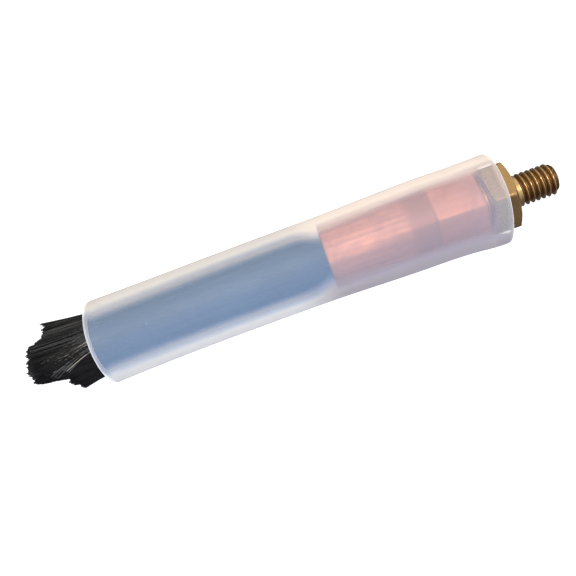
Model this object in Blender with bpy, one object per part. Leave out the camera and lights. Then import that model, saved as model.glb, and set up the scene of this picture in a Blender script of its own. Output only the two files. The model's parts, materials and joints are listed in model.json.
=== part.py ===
# Screw-on contact-cleaning brush tip: a black fibre bundle crimped in a copper ferrule, the ferrule
# crimped on a brass fitting with an M6 stud, and a soft silicone sleeve pulled over the whole brush.
# The brush axis lies along X, with the stud pointing to +X, and the tip lies on the plane z = 0.
# Places along the axis are measured from the outer face of the hexagon, the face that the handle meets.
import bisect
import math
import random

import bmesh
import bpy

# Brass fitting
HEX_ACROSS_FLATS = 0.0119
HEX_LENGTH = 0.0047
HEX_FACE_RADIUS = 0.00580
HEX_BACK_RADIUS = 0.00580
CHAMFER_SLOPE = 2.00              # radius gained for each metre along the axis, on the chamfers
STUD_DIAMETER = 0.0060
STUD_PITCH = 0.0010
STUD_NECK = 0.00125               # plain neck between the hexagon and the first turn
STUD_LENGTH = 0.0085
STUD_TIP_CHAMFER = 0.0007
THREAD_DEPTH = 0.613 * STUD_PITCH
HALF_CREST = 0.20                 # half the crest's share of the pitch, doubled
FLANK = 0.62                      # the flank's share, doubled; the rest is the flat root
FADE_IN_TURNS = 0.6               # the thread reaches full depth over this much of a turn
THREAD_RINGS_PER_TURN = 6
SPIGOT_RADIUS = 0.00435
SPIGOT_END = -0.0149

# Copper ferrule
FERRULE_REAR = -0.0058
REAR_CRIMP_FRONT = -0.0143
BAND_REAR = -0.0150
BAND_FRONT = -0.0187
FRONT_CRIMP_REAR = -0.0199
FERRULE_MOUTH = -0.0349
REAR_CRIMP_CORNER = 0.00688
FRONT_CRIMP_CORNER = 0.00635
BAND_RADIUS = 0.00605
MOUTH_RADIUS = 0.00587
FERRULE_WALL = 0.00130
MOUTH_ROUNDING = 0.0004
ROUND_BEFORE_CRIMP = 1.045        # the tube's radius before the jaws close, over the flats' distance
WORN_CORNER = 0.992               # the crimp's corners are this much short of sharp
CRIMP_LOST_AT_MOUTH = 0.6         # share of the front crimp's squeeze that is gone at the mouth

# Silicone sleeve
SLEEVE_REAR = -0.0025
SLEEVE_FRONT = -0.0794
SLEEVE_OUTER = 0.00782
SLEEVE_INNER = 0.00620
SLEEVE_RIM_FLARE = 0.00030
SLEEVE_FLARE_LENGTH = 0.0190
SLEEVE_STRETCHED_OUTER = 0.00848
HEX_CLEARANCE = 0.0003
STRETCH_START = -0.0369           # the bore begins to widen here, towards the ferrule
CRIMP_CLEAR = -0.0174             # from here back the bore clears the rear crimp
HEX_CLEAR = -0.0069               # from here back the bore follows the hexagon
CRIMP_BORE = 0.00720
CRIMP_OUTER = 0.00828

# Fibre bundle
TOW_ROOT = -0.0160
TOW_RINGS = 3
ROOT_SPACING = 0.00119            # distance between neighbouring tows inside the ferrule
FREE_SPACING = 0.00172            # and where the bundle has bulged out to fill the sleeve
ROOT_TOW_RADIUS = 0.00045
FREE_TOW_RADIUS = 0.00070
TIP_TOW_RADIUS = 0.00048
BULGE_LENGTH = 0.0062
BULGE_SHARES = (0.3, 0.7)         # rings of each tow along its bulge
FIBRE_REACH = 0.0162              # the longest tow stands out this far from the sleeve's front rim
TIP_SPREAD = 0.06
TOW_SIDES = 6
TOW_STATIONS = 5                  # rings of each tow along its straight middle
LENGTH_SCATTER = 0.0011

# The bundle's ragged end: place across the bundle, and how far fibres there stand out of the sleeve
RAGGED_END = (
    (-0.0068, 0.0068), (-0.0046, 0.0088), (-0.0035, 0.0147), (0.0, FIBRE_REACH),
    (0.0034, 0.0150), (0.0072, 0.0105),
)

SEGMENTS = 36
SHARP_ANGLE = math.radians(28)
TOW_SHARP_ANGLE = math.radians(62)
HEX_TURN = math.radians(-4.5)     # the hexagon's top corner leans this far towards -Y
AXIS_HEIGHT = SLEEVE_STRETCHED_OUTER * math.cos(math.pi / SEGMENTS)
CENTRE_SHIFT = -(STUD_LENGTH + SLEEVE_FRONT - FIBRE_REACH) / 2


def clear_scene():
    for item in list(bpy.data.objects):
        bpy.data.objects.remove(item, do_unlink=True)


def make_material(name, colour, roughness, metallic, alpha=1.0):
    material = bpy.data.materials.new(name)
    material.use_nodes = True
    shader = material.node_tree.nodes["Principled BSDF"]
    shader.inputs["Base Color"].default_value = (*colour, 1.0)
    shader.inputs["Roughness"].default_value = roughness
    shader.inputs["Metallic"].default_value = metallic
    shader.inputs["Alpha"].default_value = alpha
    return material


def mix(low, high, share):
    return low + (high - low) * share


def ease(share):
    share = min(max(share, 0.0), 1.0)
    return share * share * (3 - 2 * share)


def angles(count=SEGMENTS):
    return [HEX_TURN + 2 * math.pi * step / count for step in range(count)]


def hexagon(angle, half_flats):
    # Distance from the axis to a hexagon's side in the direction of the angle
    from_flat = (angle - HEX_TURN) % (math.pi / 3) - math.pi / 6
    return half_flats / math.cos(from_flat)


def ring(place, radius_at):
    return [(place, angle, radius_at(angle)) for angle in angles()]


def round_ring(place, radius):
    return ring(place, lambda angle: radius)


def axis_point(place, angle, radius):
    # The angle is measured from +Z towards +Y
    return (place, radius * math.sin(angle), radius * math.cos(angle))


def skin(name, rings, material, hollow, origin):
    # Joins each ring to the next. A hollow piece's last ring joins its first; a solid one is capped.
    mesh_builder = bmesh.new()
    loops = []
    for points in rings:
        loops.append([
            mesh_builder.verts.new(axis_point(place - origin, angle, radius))
            for place, angle, radius in points
        ])
    pairs = list(zip(loops, loops[1:]))
    if hollow:
        pairs.append((loops[-1], loops[0]))
    for first, second in pairs:
        count = len(first)
        for step in range(count):
            after = (step + 1) % count
            mesh_builder.faces.new((first[step], first[after], second[after], second[step]))
    if not hollow:
        mesh_builder.faces.new(loops[0])
        mesh_builder.faces.new(loops[-1])
    bmesh.ops.recalc_face_normals(mesh_builder, faces=mesh_builder.faces)
    mesh = bpy.data.meshes.new(name)
    mesh_builder.to_mesh(mesh)
    mesh_builder.free()
    mesh.shade_smooth()
    mesh.set_sharp_from_angle(angle=SHARP_ANGLE)
    mesh.materials.append(material)
    piece = bpy.data.objects.new(name, mesh)
    bpy.context.collection.objects.link(piece)
    piece.location = (origin, 0, 0)
    return piece


def chamfer_rings(face, face_radius, inward, half_flats):
    # One ring for each height at which the chamfer's cone meets a direction of the hexagon
    sides = sorted({round(hexagon(angle, half_flats), 7) for angle in angles()})
    rings = [round_ring(face, face_radius)]
    for reach in sides:
        place = face + inward * (reach - face_radius) / CHAMFER_SLOPE
        rings.append(ring(place, lambda angle, reach=reach: min(reach, hexagon(angle, half_flats))))
    return rings


def thread_radius(place, angle):
    # A right-hand thread with flat crests and roots, fading in after the neck, chamfered at the tip
    phase = (place / STUD_PITCH + angle / (2 * math.pi)) % 1.0
    from_crest = abs(phase - 0.5) * 2
    groove = min(max((from_crest - HALF_CREST) / FLANK, 0.0), 1.0)
    fade = min(max((place - STUD_NECK) / (FADE_IN_TURNS * STUD_PITCH), 0.0), 1.0)
    radius = STUD_DIAMETER / 2 - THREAD_DEPTH * groove * fade
    cone = STUD_DIAMETER / 2 - STUD_TIP_CHAMFER + (STUD_LENGTH - place)
    return min(radius, cone)


def stud_fitting(material):
    half_flats = HEX_ACROSS_FLATS / 2
    rings = [
        round_ring(SPIGOT_END, SPIGOT_RADIUS - MOUTH_ROUNDING),
        round_ring(SPIGOT_END + MOUTH_ROUNDING, SPIGOT_RADIUS),
        round_ring(-HEX_LENGTH, SPIGOT_RADIUS),
    ]
    rings += chamfer_rings(-HEX_LENGTH, HEX_BACK_RADIUS, 1, half_flats)
    rings += reversed(chamfer_rings(0.0, HEX_FACE_RADIUS, -1, half_flats))
    rings.append(round_ring(0.0, STUD_DIAMETER / 2))
    steps = round((STUD_LENGTH - STUD_NECK) / STUD_PITCH * THREAD_RINGS_PER_TURN)
    for step in range(steps + 1):
        place = mix(STUD_NECK, STUD_LENGTH, step / steps)
        rings.append(ring(place, lambda angle, place=place: thread_radius(place, angle)))
    return skin("stud_fitting", rings, material, False, 0.0)


def crimped(angle, corner, share):
    # A round tube squeezed between hexagonal jaws: the share is how far the squeeze has gone
    flat = corner * math.cos(math.pi / 6)
    return mix(flat * ROUND_BEFORE_CRIMP, min(hexagon(angle, flat), corner * WORN_CORNER), share)


def ferrule_radius(place, angle):
    rear = ease((place - BAND_REAR) / (REAR_CRIMP_FRONT - BAND_REAR))
    if place > BAND_REAR:
        return mix(BAND_RADIUS, crimped(angle, REAR_CRIMP_CORNER, 1.0), rear)
    if place > BAND_FRONT:
        return BAND_RADIUS
    share = min(max((FRONT_CRIMP_REAR - place) / (FRONT_CRIMP_REAR - FERRULE_MOUTH), 0.0), 1.0)
    squeezed = crimped(angle, FRONT_CRIMP_CORNER, 1 - CRIMP_LOST_AT_MOUTH * share)
    squeezed = mix(squeezed, MOUTH_RADIUS, share)
    return mix(BAND_RADIUS, squeezed, ease((BAND_FRONT - place) / (BAND_FRONT - FRONT_CRIMP_REAR)))


def ferrule(material):
    middle = (FRONT_CRIMP_REAR + FERRULE_MOUTH) / 2
    places = [
        FERRULE_REAR - MOUTH_ROUNDING, REAR_CRIMP_FRONT, BAND_REAR, BAND_FRONT,
        FRONT_CRIMP_REAR, middle, FERRULE_MOUTH + MOUTH_ROUNDING,
    ]
    outer = [ring(place, lambda angle, place=place: ferrule_radius(place, angle)) for place in places]
    inner = [
        ring(place, lambda angle, place=place: ferrule_radius(place, angle) - FERRULE_WALL)
        for place in reversed(places[1:-1])
    ]

    def lip(place, inset):
        return ring(place, lambda angle: ferrule_radius(place, angle) - inset)

    rear = lip(FERRULE_REAR, MOUTH_ROUNDING)
    rear_bore = lip(FERRULE_REAR, FERRULE_WALL)
    mouth = lip(FERRULE_MOUTH, MOUTH_ROUNDING)
    mouth_bore = lip(FERRULE_MOUTH, FERRULE_WALL)
    rings = [rear] + outer + [mouth, mouth_bore] + inner + [rear_bore]
    return skin("ferrule", rings, material, True, FERRULE_MOUTH)


def sleeve(material):
    # The rear of the bore is a hexagon that clears the fitting's; the outside stays round
    clear_flats = HEX_ACROSS_FLATS / 2 + HEX_CLEARANCE
    flare_end = SLEEVE_FRONT + SLEEVE_FLARE_LENGTH
    flare_middle = SLEEVE_FRONT + SLEEVE_FLARE_LENGTH / 2
    outer = [
        (SLEEVE_FRONT, SLEEVE_OUTER + SLEEVE_RIM_FLARE),
        (flare_middle, SLEEVE_OUTER + SLEEVE_RIM_FLARE / 4),
        (flare_end, SLEEVE_OUTER),
        (STRETCH_START, SLEEVE_OUTER),
        (CRIMP_CLEAR, CRIMP_OUTER),
        (HEX_CLEAR, SLEEVE_STRETCHED_OUTER),
        (SLEEVE_REAR, SLEEVE_STRETCHED_OUTER),
    ]
    rings = [round_ring(place, radius) for place, radius in outer]
    rings.append(ring(SLEEVE_REAR, lambda angle: hexagon(angle, clear_flats)))
    rings.append(ring(HEX_CLEAR, lambda angle: hexagon(angle, clear_flats)))
    rings.append(round_ring(CRIMP_CLEAR, CRIMP_BORE))
    rings.append(round_ring(STRETCH_START, SLEEVE_INNER))
    rings.append(round_ring(flare_end, SLEEVE_INNER))
    rings.append(round_ring(flare_middle, SLEEVE_INNER + SLEEVE_RIM_FLARE / 4))
    rings.append(round_ring(SLEEVE_FRONT, SLEEVE_INNER + SLEEVE_RIM_FLARE))
    return skin("sleeve", rings, material, True, SLEEVE_REAR)


def reach_at(across):
    # How far fibres at this place across the bundle stand out of the sleeve
    sides = [side for side, _ in RAGGED_END]
    after = min(max(bisect.bisect(sides, across), 1), len(RAGGED_END) - 1)
    low, high = RAGGED_END[after - 1], RAGGED_END[after]
    return mix(low[1], high[1], (across - low[0]) / (high[0] - low[0]))


def tow(name, row, turn, reach, material):
    # Each tow runs straight out of the ferrule, bulges away from the axis, then runs to its cut end
    tip = SLEEVE_FRONT - reach
    bulged = FERRULE_MOUTH - BULGE_LENGTH
    places = [TOW_ROOT, FERRULE_MOUTH]
    places += [mix(FERRULE_MOUTH, bulged, share) for share in BULGE_SHARES]
    places += [mix(bulged, SLEEVE_FRONT, step / TOW_STATIONS) for step in range(TOW_STATIONS + 1)]
    places.append(tip)
    mesh_builder = bmesh.new()
    loops = []
    for place in places:
        bulge = ease((FERRULE_MOUTH - place) / BULGE_LENGTH)
        outside = max(SLEEVE_FRONT - place, 0.0) / FIBRE_REACH
        centre = row * mix(ROOT_SPACING, FREE_SPACING, bulge) * (1 + TIP_SPREAD * outside)
        radius = mix(ROOT_TOW_RADIUS, FREE_TOW_RADIUS, bulge)
        radius = mix(radius, TIP_TOW_RADIUS, outside)
        loop = []
        for side in range(TOW_SIDES):
            around = turn + 2 * math.pi * side / TOW_SIDES
            across = centre * math.sin(turn) + radius * math.sin(around)
            height = centre * math.cos(turn) + radius * math.cos(around)
            loop.append(mesh_builder.verts.new((place - TOW_ROOT, across, height)))
        loops.append(loop)
    for first, second in zip(loops, loops[1:]):
        for side in range(TOW_SIDES):
            after = (side + 1) % TOW_SIDES
            mesh_builder.faces.new((first[side], first[after], second[after], second[side]))
    mesh_builder.faces.new(loops[0])
    mesh_builder.faces.new(loops[-1])
    bmesh.ops.recalc_face_normals(mesh_builder, faces=mesh_builder.faces)
    mesh = bpy.data.meshes.new(name)
    mesh_builder.to_mesh(mesh)
    mesh_builder.free()
    mesh.shade_smooth()
    mesh.set_sharp_from_angle(angle=TOW_SHARP_ANGLE)
    mesh.materials.append(material)
    piece = bpy.data.objects.new(name, mesh)
    bpy.context.collection.objects.link(piece)
    piece.location = (TOW_ROOT, 0, 0)
    return piece


def fibre_bundle(material):
    # One tow on the axis and rings of six, twelve and eighteen around it
    chance = random.Random(7)
    tows = []
    for row in range(TOW_RINGS + 1):
        count = max(6 * row, 1)
        for step in range(count):
            turn = 2 * math.pi * (step + 0.5 * (row % 2)) / count
            across = row * FREE_SPACING * math.sin(turn)
            reach = reach_at(across) - LENGTH_SCATTER * chance.random() * min(row, 1)
            name = f"fibre_tow_{len(tows) + 1:02d}"
            tows.append(tow(name, row, turn, reach, material))
    return tows


def main():
    clear_scene()
    brass = make_material("brass", (0.66, 0.45, 0.16), 0.30, 1.0)
    copper = make_material("copper", (0.86, 0.45, 0.33), 0.38, 1.0)
    silicone = make_material("silicone", (0.88, 0.88, 0.92), 0.35, 0.0, alpha=0.35)
    fibre = make_material("black_fibre", (0.025, 0.026, 0.030), 0.45, 0.0)
    tip_axis = bpy.data.objects.new("tip_axis", None)
    bpy.context.collection.objects.link(tip_axis)
    tip_axis.location = (CENTRE_SHIFT, 0, AXIS_HEIGHT)
    pieces = [stud_fitting(brass), ferrule(copper), sleeve(silicone)]
    pieces += fibre_bundle(fibre)
    for piece in pieces:
        piece.parent = tip_axis


main()
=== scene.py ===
import json
import math

import bpy
import numpy as np
from mathutils import Matrix, Vector


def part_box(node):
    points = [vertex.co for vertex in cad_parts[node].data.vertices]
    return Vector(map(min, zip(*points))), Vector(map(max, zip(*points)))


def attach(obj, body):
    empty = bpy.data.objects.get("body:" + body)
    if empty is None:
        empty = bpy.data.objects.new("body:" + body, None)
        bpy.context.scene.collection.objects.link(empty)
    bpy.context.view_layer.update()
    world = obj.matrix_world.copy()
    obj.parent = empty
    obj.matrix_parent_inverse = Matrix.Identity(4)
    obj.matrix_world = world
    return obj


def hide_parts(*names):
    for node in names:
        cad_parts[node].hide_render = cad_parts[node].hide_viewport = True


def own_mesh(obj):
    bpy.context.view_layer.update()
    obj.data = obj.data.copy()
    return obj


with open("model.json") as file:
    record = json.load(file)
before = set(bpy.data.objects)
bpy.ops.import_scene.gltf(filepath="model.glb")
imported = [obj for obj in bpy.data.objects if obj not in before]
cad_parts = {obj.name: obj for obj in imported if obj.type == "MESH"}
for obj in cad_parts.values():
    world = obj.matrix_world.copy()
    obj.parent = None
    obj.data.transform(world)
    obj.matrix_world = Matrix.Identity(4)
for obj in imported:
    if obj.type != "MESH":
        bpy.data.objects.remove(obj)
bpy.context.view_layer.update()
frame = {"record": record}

# Lengths are in millimetres, apart from the floor, the lights and the bump distances, in metres.
# "along" is measured on the brush axis from the hexagon's outer face, positive towards the stud's
# tip, and angles run from straight up towards +Y.
mm = 0.001
shoulder = frame["record"]["mounts"][0]["pos_m"][0]
fittingLow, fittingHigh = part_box("stud_fitting")
axisHeight = (fittingLow.z + fittingHigh.z) / 2
cornerTurn = math.radians(-4.5)          # the hexagon's top corner leans this far towards -Y
sharpEdge = math.radians(40)             # edges that turn more than this are shaded sharp

lean = {
    "offset": 0.30, "start": 3.4, "run": 12.0,       # the tube is crimped a little off the fitting's axis
    "sag": 0.55, "sagStart": 36.4, "sagRun": 43.0,   # and the soft end sags to the other side
    "tubeShare": 0.5,                                # the stiff tube leans less than the sleeve round it
}


def ease(share):
    share = np.clip(share, 0.0, 1.0)
    return share * share * (3 - 2 * share)


def blend(low, high, share):
    return low + (high - low) * share


def toWorld(along, across, height):
    # points on and round the brush axis, in metres in the shared frame
    return np.stack([shoulder + along * mm, across * mm, axisHeight + height * mm], axis=-1)


def bow(along):
    # how far the brush's middle line is from the axis, towards +Y
    crooked = lean["offset"] * ease((-along - lean["start"]) / lean["run"])
    sag = lean["sag"] * (np.clip(-along - lean["sagStart"], 0.0, None) / lean["sagRun"]) ** 2
    return crooked - sag


def directions(around):
    return cornerTurn + np.arange(around) * 2 * math.pi / around


def cornerSteps(count):
    # angles at which a rounded corner has its rings
    return np.linspace(0.2, 1.0, count) * math.pi / 2


def roundedHexagon(angle, flats, sharpness):
    # distance from the axis to a hexagon with softened corners; flats is the width across flats
    total = 0.0
    for step in range(3):
        total = total + np.abs(np.cos(angle - cornerTurn - math.pi / 6 - step * math.pi / 3)) ** sharpness
    return flats / 2 / total ** (1 / sharpness)


rippleSpread = (0.6, 1.8)                # how much shorter and longer its waves are than their reach
rippleCrest = 1.5                        # its height before scaling, with only rare waves above it


def ripple(along, angle, seed, waves, reach, count, height):
    # a smooth, repeatable unevenness round and along a piece, mostly within the given height
    chance = np.random.default_rng(seed)
    total = np.zeros(np.broadcast(along, angle).shape)
    for _ in range(count):
        turns = chance.integers(1, waves + 1)
        length = reach * chance.uniform(*rippleSpread)
        total += np.sin(turns * angle + 2 * math.pi * along / length + chance.uniform(0, 2 * math.pi))
    return total / math.sqrt(count) / rippleCrest * height


def placeObject(name, data):
    item = bpy.data.objects.new(name, data)
    bpy.context.collection.objects.link(item)
    return item


def addMask(mesh, name, values):
    layer = mesh.attributes.new(name, "FLOAT", "POINT")
    layer.data.foreach_set("value", np.asarray(values, np.float32).ravel())


def ringList(around, maskCount):
    # collects a turned piece's rings, each with its place along, its radius and its masks' values
    full = np.ones(around)
    rings = []

    def add(along, radius, *masks):
        masks = masks + (0.0,) * (maskCount - len(masks))
        rings.append([value * full for value in (along, radius, *masks)])

    return rings, add


def turnedMesh(name, rings, maskNames, closed=False, bend=None, skew=None):
    # a closed piece joins its last ring to its first; an open one is capped at both ends
    table = np.array(rings)
    along, radius = table[:, 0], table[:, 1]
    count, around = radius.shape
    angle = directions(around)
    across = radius * np.sin(angle)
    height = radius * np.cos(angle)
    if skew is not None:
        along = skew(along, across, height)
    if bend is not None:
        across = across + bend(along)
    points = toWorld(along, across, height).reshape(-1, 3)
    row = np.arange(count if closed else count - 1)[:, None]
    column = np.arange(around)[None, :]
    nextColumn = (column + 1) % around
    here = row * around
    nextRow = (row + 1) % count * around
    faces = np.stack([here + column, nextRow + column, nextRow + nextColumn, here + nextColumn], axis=-1)
    faceList = faces.reshape(-1, 4).tolist()
    if not closed:
        faceList.append(list(range(around)))
        faceList.append(list(range((count - 1) * around, count * around))[::-1])
    mesh = bpy.data.meshes.new(name)
    mesh.from_pydata(points.tolist(), [], faceList)
    for index, maskName in enumerate(maskNames):
        addMask(mesh, maskName, table[:, 2 + index])
    mesh.shade_smooth()
    mesh.set_sharp_from_angle(angle=sharpEdge)
    return placeObject(name, mesh)


# Shader nodes
def feed(tree, socket, value):
    # a socket takes a number, a colour or another node's output
    if isinstance(value, (int, float)):
        socket.default_value = value
    elif isinstance(value, tuple):
        socket.default_value = (*value, 1.0)
    elif value is not None:
        tree.links.new(value, socket)


def mathNode(tree, operation, first, second=None, clamp=False):
    node = tree.nodes.new("ShaderNodeMath")
    node.operation = operation
    node.use_clamp = clamp
    for socket, value in zip(node.inputs, (first, second)):
        feed(tree, socket, value)
    return node.outputs[0]


def weightedSum(tree, start, *terms, clamp=False):
    # start plus each source times its weight; only the last step is clamped
    total = start
    for index, (source, weight) in enumerate(terms):
        part = mathNode(tree, "MULTIPLY", source, weight)
        last = index == len(terms) - 1
        total = part if total is None else mathNode(tree, "ADD", total, part, clamp and last)
    return total


def rampNode(tree, source, low, high, startAt=0.0, endAt=1.0):
    node = tree.nodes.new("ShaderNodeMapRange")
    node.interpolation_type = "SMOOTHSTEP"
    feed(tree, node.inputs["Value"], source)
    for label, value in (("From Min", low), ("From Max", high), ("To Min", startAt), ("To Max", endAt)):
        feed(tree, node.inputs[label], value)
    return node.outputs["Result"]


def noiseNode(tree, vector, scale, detail=4.0, roughness=0.6, distortion=0.0):
    node = tree.nodes.new("ShaderNodeTexNoise")
    feed(tree, node.inputs["Vector"], vector)
    for label, value in (("Scale", scale), ("Detail", detail), ("Roughness", roughness),
                         ("Distortion", distortion)):
        feed(tree, node.inputs[label], value)
    return node.outputs["Fac"]


def objectSpace(tree, scale=None):
    # object coordinates; a small scale on one axis draws noise out into streaks along it
    coordinate = tree.nodes.new("ShaderNodeTexCoord").outputs["Object"]
    if scale is None:
        return coordinate
    mapping = tree.nodes.new("ShaderNodeMapping")
    mapping.inputs["Scale"].default_value = scale
    feed(tree, mapping.inputs["Vector"], coordinate)
    return mapping.outputs["Vector"]


def mixColour(tree, factor, first, second):
    node = tree.nodes.new("ShaderNodeMix")
    node.data_type = "RGBA"
    feed(tree, node.inputs["Factor"], factor)
    for label, value in (("A", first), ("B", second)):
        feed(tree, [s for s in node.inputs if s.name == label and s.type == "RGBA"][0], value)
    return [s for s in node.outputs if s.type == "RGBA"][0]


def bumpNode(tree, height, strength, distance, normal=None):
    node = tree.nodes.new("ShaderNodeBump")
    for label, value in (("Strength", strength), ("Distance", distance), ("Height", height),
                         ("Normal", normal)):
        feed(tree, node.inputs[label], value)
    return node.outputs["Normal"]


def maskNode(tree, name):
    node = tree.nodes.new("ShaderNodeAttribute")
    node.attribute_name = name
    return node.outputs["Fac"]


# Shader groups, each used by more than one material
def newGroup(name, inputs, outputs):
    group = bpy.data.node_groups.new(name, "ShaderNodeTree")
    for label, value in inputs.items():
        socket = group.interface.new_socket(label, in_out="INPUT", socket_type="NodeSocketFloat")
        socket.default_value = value
    for label in outputs:
        group.interface.new_socket(label, in_out="OUTPUT", socket_type="NodeSocketFloat")
    return group, group.nodes.new("NodeGroupInput"), group.nodes.new("NodeGroupOutput")


def placeGroup(tree, group, **values):
    node = tree.nodes.new("ShaderNodeGroup")
    node.node_tree = group
    for label, value in values.items():
        feed(tree, node.inputs[label], value)
    return node


streakDetail = {
    "space": (0.035, 1.0, 1.0),          # drawn out along the brush
    "broadScale": 420.0, "fineShare": 0.6, "broadShare": 0.4,
    "middle": 0.5, "gain": 3.0,
}


def makeStreaksGroup():
    # fine lines drawn along the brush: Streak is their tone, Height is for a bump
    defaults = {"Fineness": 2600.0, "Contrast": 1.0}
    group, inputs, outputs = newGroup("drawnStreaks", defaults, ("Streak", "Height"))
    space = objectSpace(group, streakDetail["space"])
    fine = noiseNode(group, space, inputs.outputs["Fineness"], detail=5.0, roughness=0.65)
    broad = noiseNode(group, space, streakDetail["broadScale"], detail=3.0)
    both = weightedSum(group, None, (fine, streakDetail["fineShare"]), (broad, streakDetail["broadShare"]))
    centred = mathNode(group, "SUBTRACT", both, streakDetail["middle"])
    scaled = mathNode(group, "MULTIPLY", centred, inputs.outputs["Contrast"])
    tone = weightedSum(group, streakDetail["middle"], (scaled, streakDetail["gain"]), clamp=True)
    feed(group, outputs.inputs["Streak"], tone)
    feed(group, outputs.inputs["Height"], both)
    return group


tarnishDetail = {
    "cloud": (0.42, 0.68),               # where a cloud of tarnish starts and where it is full
    "speckScale": 2400.0, "speck": (0.50, 0.72),
}


def makeTarnishGroup():
    # cloudy darkening of bare metal, which also gathers in the hollows; on the copper the Hollow input
    # also carries painted shade in the band between the crimps
    defaults = {"Size": 260.0, "Hollow": 0.0, "Amount": 0.5}
    group, inputs, outputs = newGroup("tarnish", defaults, ("Mask", "Fine"))
    space = objectSpace(group)
    cloud = noiseNode(group, space, inputs.outputs["Size"], detail=6.0, roughness=0.62, distortion=0.6)
    speck = noiseNode(group, space, tarnishDetail["speckScale"], detail=3.0)
    spread = rampNode(group, cloud, *tarnishDetail["cloud"])
    amount = mathNode(group, "MULTIPLY", spread, inputs.outputs["Amount"])
    gathered = mathNode(group, "MAXIMUM", amount, inputs.outputs["Hollow"], clamp=True)
    feed(group, outputs.inputs["Mask"], gathered)
    feed(group, outputs.inputs["Fine"], rampNode(group, speck, *tarnishDetail["speck"]))
    return group


fleckDetail = {
    "patchScale": 160.0, "patch": (0.50, 0.60),
    "scuffSpace": (0.22, 1.0, 1.0), "scuffScale": 1500.0, "scuff": (0.66, 0.74),
}


def makeFlecksGroup():
    # specks of dust and short scuffs, both in patches
    group, inputs, outputs = newGroup("flecks", {"Density": 520.0, "Size": 0.10}, ("Dust", "Scuff"))
    space = objectSpace(group)
    cells = group.nodes.new("ShaderNodeTexVoronoi")
    feed(group, cells.inputs["Vector"], space)
    feed(group, cells.inputs["Scale"], inputs.outputs["Density"])
    near = mathNode(group, "LESS_THAN", cells.outputs["Distance"], inputs.outputs["Size"])
    patches = noiseNode(group, space, fleckDetail["patchScale"], detail=2.0)
    patchy = rampNode(group, patches, *fleckDetail["patch"])
    scratch = noiseNode(group, objectSpace(group, fleckDetail["scuffSpace"]), fleckDetail["scuffScale"],
                        detail=4.0, roughness=0.7, distortion=1.2)
    lines = rampNode(group, scratch, *fleckDetail["scuff"])
    feed(group, outputs.inputs["Dust"], mathNode(group, "MULTIPLY", near, patchy))
    feed(group, outputs.inputs["Scuff"], mathNode(group, "MULTIPLY", lines, patchy))
    return group


streaksGroup = makeStreaksGroup()
tarnishGroup = makeTarnishGroup()
flecksGroup = makeFlecksGroup()


def newMaterial(name):
    material = bpy.data.materials.new(name)
    material.use_nodes = True
    tree = material.node_tree
    return material, tree, tree.nodes["Principled BSDF"]


brassLook = {
    "bright": (0.86, 0.62, 0.29),
    "base": (0.56, 0.36, 0.155),
    "dull": (0.13, 0.068, 0.044),
    "scuffs": 0.5,                       # how far a scuff turns the colour to bright
    "roughness": 0.24, "tarnishRoughness": 0.26, "speckRoughness": 0.07,
    "latheSpace": (1.0, 0.03, 0.03),     # lathe lines run round the axis, so they change along it
    "latheScale": 5200.0,
}


def makeBrass():
    material, tree, shader = newMaterial("turnedBrass")
    tarnish = placeGroup(tree, tarnishGroup, Size=420.0, Hollow=maskNode(tree, "hollow"), Amount=0.22)
    flecks = placeGroup(tree, flecksGroup, Density=900.0, Size=0.12)
    scuffs = mathNode(tree, "MULTIPLY", flecks.outputs["Scuff"], brassLook["scuffs"])
    # the edge mask brightens worn edges and crests, and on the neck it is a painted highlight
    colour = mixColour(tree, maskNode(tree, "edge"), brassLook["base"], brassLook["bright"])
    colour = mixColour(tree, tarnish.outputs["Mask"], colour, brassLook["dull"])
    colour = mixColour(tree, scuffs, colour, brassLook["bright"])
    feed(tree, shader.inputs["Base Color"], colour)
    rough = weightedSum(tree, brassLook["roughness"],
                        (tarnish.outputs["Mask"], brassLook["tarnishRoughness"]),
                        (tarnish.outputs["Fine"], brassLook["speckRoughness"]))
    feed(tree, shader.inputs["Roughness"], rough)
    shader.inputs["Metallic"].default_value = 1.0
    latheSpace = objectSpace(tree, brassLook["latheSpace"])
    lathe = noiseNode(tree, latheSpace, brassLook["latheScale"], detail=3.0, roughness=0.5)
    normal = bumpNode(tree, lathe, strength=0.25, distance=0.00003)
    normal = bumpNode(tree, flecks.outputs["Scuff"], strength=0.20, distance=0.00002, normal=normal)
    feed(tree, shader.inputs["Normal"], normal)
    return material


copperLook = {
    "base": (0.84, 0.40, 0.26),
    "bright": (0.95, 0.55, 0.40),
    "stroke": (1.00, 0.82, 0.74),
    "dull": (0.34, 0.15, 0.10),
    "roughness": 0.42, "streakRoughness": 0.16, "tarnishRoughness": 0.20,
}


def makeCopper():
    material, tree, shader = newMaterial("crimpedCopper")
    streaks = placeGroup(tree, streaksGroup, Fineness=2100.0, Contrast=1.2)
    # the hollow mask darkens the tube's ends and bore, and paints shade into the band between the crimps
    tarnish = placeGroup(tree, tarnishGroup, Size=190.0, Hollow=maskNode(tree, "hollow"), Amount=0.35)
    strokes = placeGroup(tree, flecksGroup, Density=300.0, Size=0.05)
    colour = mixColour(tree, streaks.outputs["Streak"], copperLook["base"], copperLook["bright"])
    colour = mixColour(tree, strokes.outputs["Scuff"], colour, copperLook["stroke"])
    colour = mixColour(tree, tarnish.outputs["Mask"], colour, copperLook["dull"])
    feed(tree, shader.inputs["Base Color"], colour)
    rough = weightedSum(tree, copperLook["roughness"],
                        (streaks.outputs["Streak"], copperLook["streakRoughness"]),
                        (tarnish.outputs["Mask"], copperLook["tarnishRoughness"]))
    feed(tree, shader.inputs["Roughness"], rough)
    shader.inputs["Metallic"].default_value = 1.0
    normal = bumpNode(tree, streaks.outputs["Height"], strength=0.6, distance=0.00014)
    normal = bumpNode(tree, tarnish.outputs["Fine"], strength=0.15, distance=0.00003, normal=normal)
    feed(tree, shader.inputs["Normal"], normal)
    return material


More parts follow.
